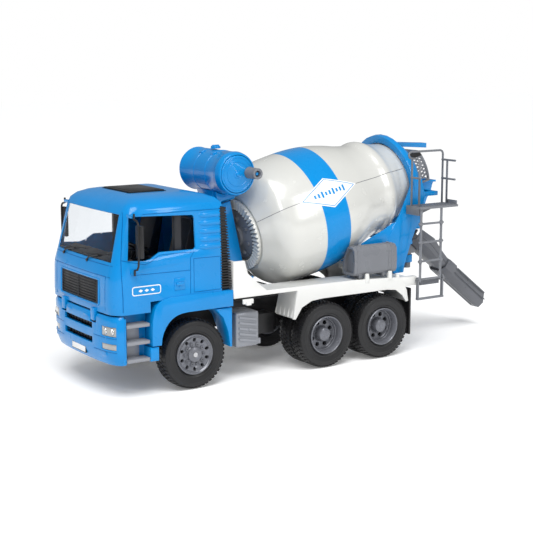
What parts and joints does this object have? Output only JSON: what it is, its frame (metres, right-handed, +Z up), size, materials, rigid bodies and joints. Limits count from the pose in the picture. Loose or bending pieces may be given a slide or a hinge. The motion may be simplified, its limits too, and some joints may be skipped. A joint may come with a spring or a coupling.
{
  "type": "toy cement mixer",
  "caption": "Toy concrete mixer truck with a tilting cab, a crank-driven turning drum, a swivelling fold-down chute, rolling wheels, folding mirrors and a rear platform with ladder",
  "frame": {"origin": "on the ground, under the middle of the truck's length and width", "axes": "+X is the truck's front, +Y its left side, +Z up from the ground it stands on"},
  "size_m": [0.562, 0.186, 0.2501],
  "materials": {
    "blue_plastic": "glossy moulded blue plastic",
    "white_plastic": "satin white plastic",
    "pearl_plastic": "glossy pearl off-white plastic with a blue band printed on the drum",
    "grey_plastic": "satin mid-grey plastic",
    "dark_grey_plastic": "dark grey plastic",
    "black_plastic": "black plastic",
    "silver_plastic": "silver-grey plastic wheel rims",
    "lamp_lens": "pale lamp lenses",
    "tyre_rubber": "soft black rubber with a tread",
    "axle_steel": "bright steel rod",
    "clear_plastic": "clear plastic pane"
  },
  "bodies": {
    "chassis": {"front_bumper": "blue_plastic", "front_mudguard_left": "blue_plastic", "front_mudguard_right": "blue_plastic", "drum_pedestal": "blue_plastic", "water_tank": "blue_plastic", "tank_cap": "blue_plastic", "rear_support": "blue_plastic", "discharge_funnel": "blue_plastic", "rear_bed": "white_plastic", "engine_block": "grey_plastic", "cab_steps_left": "grey_plastic", "cab_steps_right": "grey_plastic", "side_box_left": "grey_plastic", "side_box_right": "grey_plastic", "hopper_cage": "grey_plastic", "side_tank": "grey_plastic", "platform": "grey_plastic", "railing": "grey_plastic", "ladder": "grey_plastic", "chassis_frame": "black_plastic", "rear_mudflaps": "black_plastic", "lamp_unit_left": "lamp_lens", "lamp_unit_right": "lamp_lens"},
    "front_wheels": {"front_axle": "axle_steel", "front_rim_left": "silver_plastic", "front_rim_right": "silver_plastic", "front_tyre_left": "tyre_rubber", "front_tyre_right": "tyre_rubber"},
    "middle_wheels": {"middle_axle": "axle_steel", "middle_rim_left": "silver_plastic", "middle_rim_right": "silver_plastic", "middle_tyre_left": "tyre_rubber", "middle_tyre_right": "tyre_rubber"},
    "rear_wheels": {"rear_axle": "axle_steel", "rear_rim_left": "silver_plastic", "rear_rim_right": "silver_plastic", "rear_tyre_left": "tyre_rubber", "rear_tyre_right": "tyre_rubber"},
    "cab": {"cab_shell": "blue_plastic", "windscreen": "clear_plastic", "grille": "dark_grey_plastic", "cab_interior": "dark_grey_plastic", "steering_wheel": "dark_grey_plastic", "roof_hatch": "black_plastic", "intake_left": "black_plastic", "intake_right": "black_plastic"},
    "left_mirror": {"mirror_left": "black_plastic"},
    "right_mirror": {"mirror_right": "black_plastic"},
    "drum": {"drum_shell_upper": "pearl_plastic", "drum_shell_lower": "pearl_plastic", "drum_gear_ring": "pearl_plastic", "drum_hub": "grey_plastic", "mixing_blade": "grey_plastic"},
    "gear_shaft": {"drive_shaft": "grey_plastic"},
    "crank": {"crank_wheel": "blue_plastic"},
    "knob": {"crank_knob": "grey_plastic"},
    "chute": {"chute_swivel": "grey_plastic", "chute_upper": "dark_grey_plastic"},
    "chute_end": {"chute_lower": "dark_grey_plastic"},
    "step": {"ladder_step": "grey_plastic"}
  },
  "joints": [
    {"name": "front_wheels_roll", "type": "hinge", "parent": "chassis", "child": "front_wheels", "pos_m": [0.18301, 0, 0.037], "axis": [0, 1, 0], "continuous": true},
    {"name": "middle_wheels_roll", "type": "hinge", "parent": "chassis", "child": "middle_wheels", "pos_m": [0.01571, 0, 0.037], "axis": [0, 1, 0], "continuous": true},
    {"name": "rear_wheels_roll", "type": "hinge", "parent": "chassis", "child": "rear_wheels", "pos_m": [-0.06359, 0, 0.037], "axis": [0, 1, 0], "continuous": true},
    {"name": "cab_tilt", "type": "hinge", "parent": "chassis", "child": "cab", "pos_m": [0.27781, 0, 0.082], "axis": [0, 1, 0], "range_deg": [0, 45]},
    {"name": "left_mirror_fold", "type": "hinge", "parent": "cab", "child": "left_mirror", "pos_m": [0.25501, 0.081, 0.16], "axis": [0, 0, 1], "range_deg": [-60, 30]},
    {"name": "right_mirror_fold", "type": "hinge", "parent": "cab", "child": "right_mirror", "pos_m": [0.25501, -0.081, 0.16], "axis": [0, 0, -1], "range_deg": [-60, 30]},
    {"name": "drum_spin", "type": "hinge", "parent": "chassis", "child": "drum", "pos_m": [0.01361, 0, 0.1626], "axis": [-0.974, 0, 0.2267], "continuous": true},
    {"name": "gear_shaft_spin", "type": "hinge", "parent": "chassis", "child": "gear_shaft", "pos_m": [0.10734, 0, 0.20239], "axis": [0.2267, 0, 0.974], "continuous": true},
    {"name": "crank_spin", "type": "hinge", "parent": "chassis", "child": "crank", "pos_m": [0.11121, 0.043, 0.219], "axis": [0, 1, 0], "continuous": true},
    {"name": "knob_spin", "type": "hinge", "parent": "crank", "child": "knob", "pos_m": [0.09681, 0.063, 0.22], "axis": [0, 1, 0], "continuous": true},
    {"name": "chute_swing", "type": "hinge", "parent": "chassis", "child": "chute", "pos_m": [-0.16249, 0, 0.097], "axis": [0, 0, 1], "range_deg": [-70, 70]},
    {"name": "chute_fold", "type": "hinge", "parent": "chute", "child": "chute_end", "pos_m": [-0.22675, 0, 0.08438], "axis": [0, 1, 0], "range_deg": [0, 100]},
    {"name": "step_fold", "type": "hinge", "parent": "chassis", "child": "step", "pos_m": [-0.13174, 0.08, 0.0864], "axis": [1, 0, 0], "range_deg": [0, 150]}
  ],
  "couplings": [
    {"joint": "gear_shaft_spin", "follows": "drum_spin", "ratio": -4},
    {"joint": "crank_spin", "follows": "drum_spin", "ratio": -4}
  ]
}
